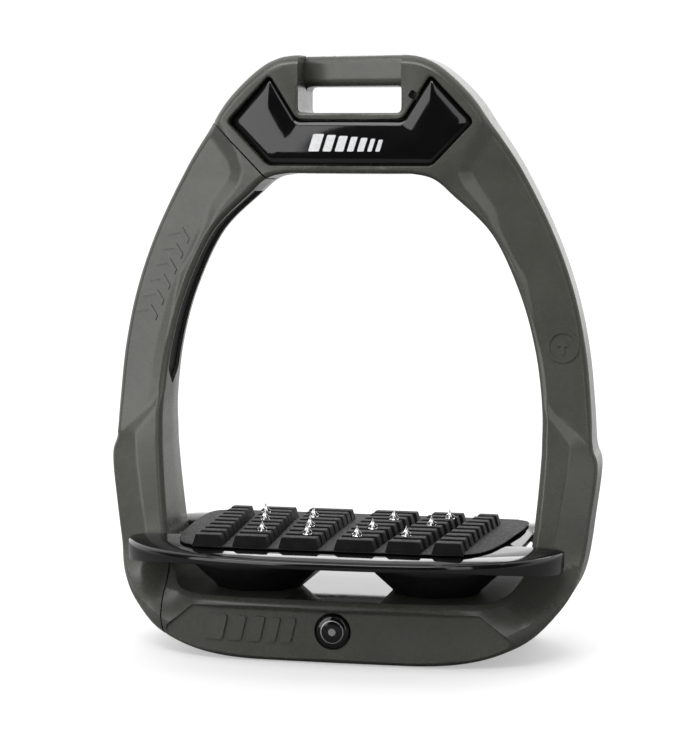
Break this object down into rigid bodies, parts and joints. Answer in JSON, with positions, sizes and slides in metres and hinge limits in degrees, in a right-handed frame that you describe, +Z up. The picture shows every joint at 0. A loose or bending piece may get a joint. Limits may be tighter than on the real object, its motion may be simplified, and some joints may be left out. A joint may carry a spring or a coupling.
{
  "type": "stirrup iron",
  "caption": "Safety stirrup iron: moulded frame, hinged release arm, leather slot and a studded, sprung tread on rubber dampers.",
  "frame": {"origin": "on the ground under the middle of the tread plate", "axes": "+Z up through the leather slot, -Y out of the face with the glossy cover, +X away from the release arm, which is on the -X side"},
  "size_m": [0.1358, 0.078, 0.1634],
  "materials": {
    "frame_composite": "matte olive-grey moulded composite with a fine grain",
    "gloss_black": "polished black",
    "grip_rubber": "matte black moulded rubber",
    "elastomer_black": "satin black elastomer",
    "bright_steel": "polished stainless steel",
    "steel": "satin steel",
    "brass": "plain turned",
    "magnet_nickel": "nickel-plated"
  },
  "bodies": {
    "frame": {"main_frame": "frame_composite", "hinge_pin": "bright_steel", "pin_plug": "grip_rubber", "latch_housing": "brass", "latch_spring": "steel", "cover_magnet_left": "magnet_nickel", "cover_magnet_right": "magnet_nickel", "damper_left": "elastomer_black", "damper_right": "elastomer_black", "guide_bush_left": "brass", "guide_bush_right": "brass", "badge_cap": "gloss_black", "badge_clip": "steel"},
    "release_arm": {"release_arm": "frame_composite", "hinge_bush_front": "brass", "hinge_bush_back": "brass", "latch_strike": "steel", "strike_screw_front": "bright_steel", "strike_screw_back": "bright_steel", "arm_liner": "grip_rubber"},
    "latch_plunger": {"latch_plunger": "bright_steel"},
    "top_cover": {"top_cover": "gloss_black", "cover_keeper_left": "steel", "cover_keeper_right": "steel"},
    "tread": {"tread_tray": "gloss_black", "grip_pad": "grip_rubber", "grip_stud_01": "bright_steel", "grip_stud_02": "bright_steel", "grip_stud_03": "bright_steel", "grip_stud_04": "bright_steel", "grip_stud_05": "bright_steel", "grip_stud_06": "bright_steel", "grip_stud_07": "bright_steel", "grip_stud_08": "bright_steel", "grip_stud_09": "bright_steel", "grip_stud_10": "bright_steel", "grip_stud_11": "bright_steel", "grip_stud_12": "bright_steel", "guide_bolt_left": "bright_steel", "guide_bolt_right": "bright_steel", "bolt_washer_left": "steel", "bolt_washer_right": "steel", "tread_insert_left": "brass", "tread_insert_right": "brass"}
  },
  "joints": [
    {"name": "arm_release", "type": "hinge", "parent": "frame", "child": "release_arm", "pos_m": [-0.0436, 0.007, 0.007], "axis": [0, -1, 0], "range_deg": [0, 45]},
    {"name": "latch_slide", "type": "slide", "parent": "frame", "child": "latch_plunger", "axis": [0, 0, 1], "range_m": [0, 0.0016], "stiffness_N_per_m": 120, "springref_m": -0.004, "deforming": ["latch_spring"]},
    {"name": "cover_pull_off", "type": "slide", "parent": "frame", "child": "top_cover", "axis": [0, -1, 0], "range_m": [0, 0.014]},
    {"name": "tread_compression", "type": "slide", "parent": "frame", "child": "tread", "axis": [0, 0, -1], "range_m": [0, 0.0025], "stiffness_N_per_m": 6000, "springref_m": -0.0005, "deforming": ["damper_left", "damper_right"]}
  ]
}
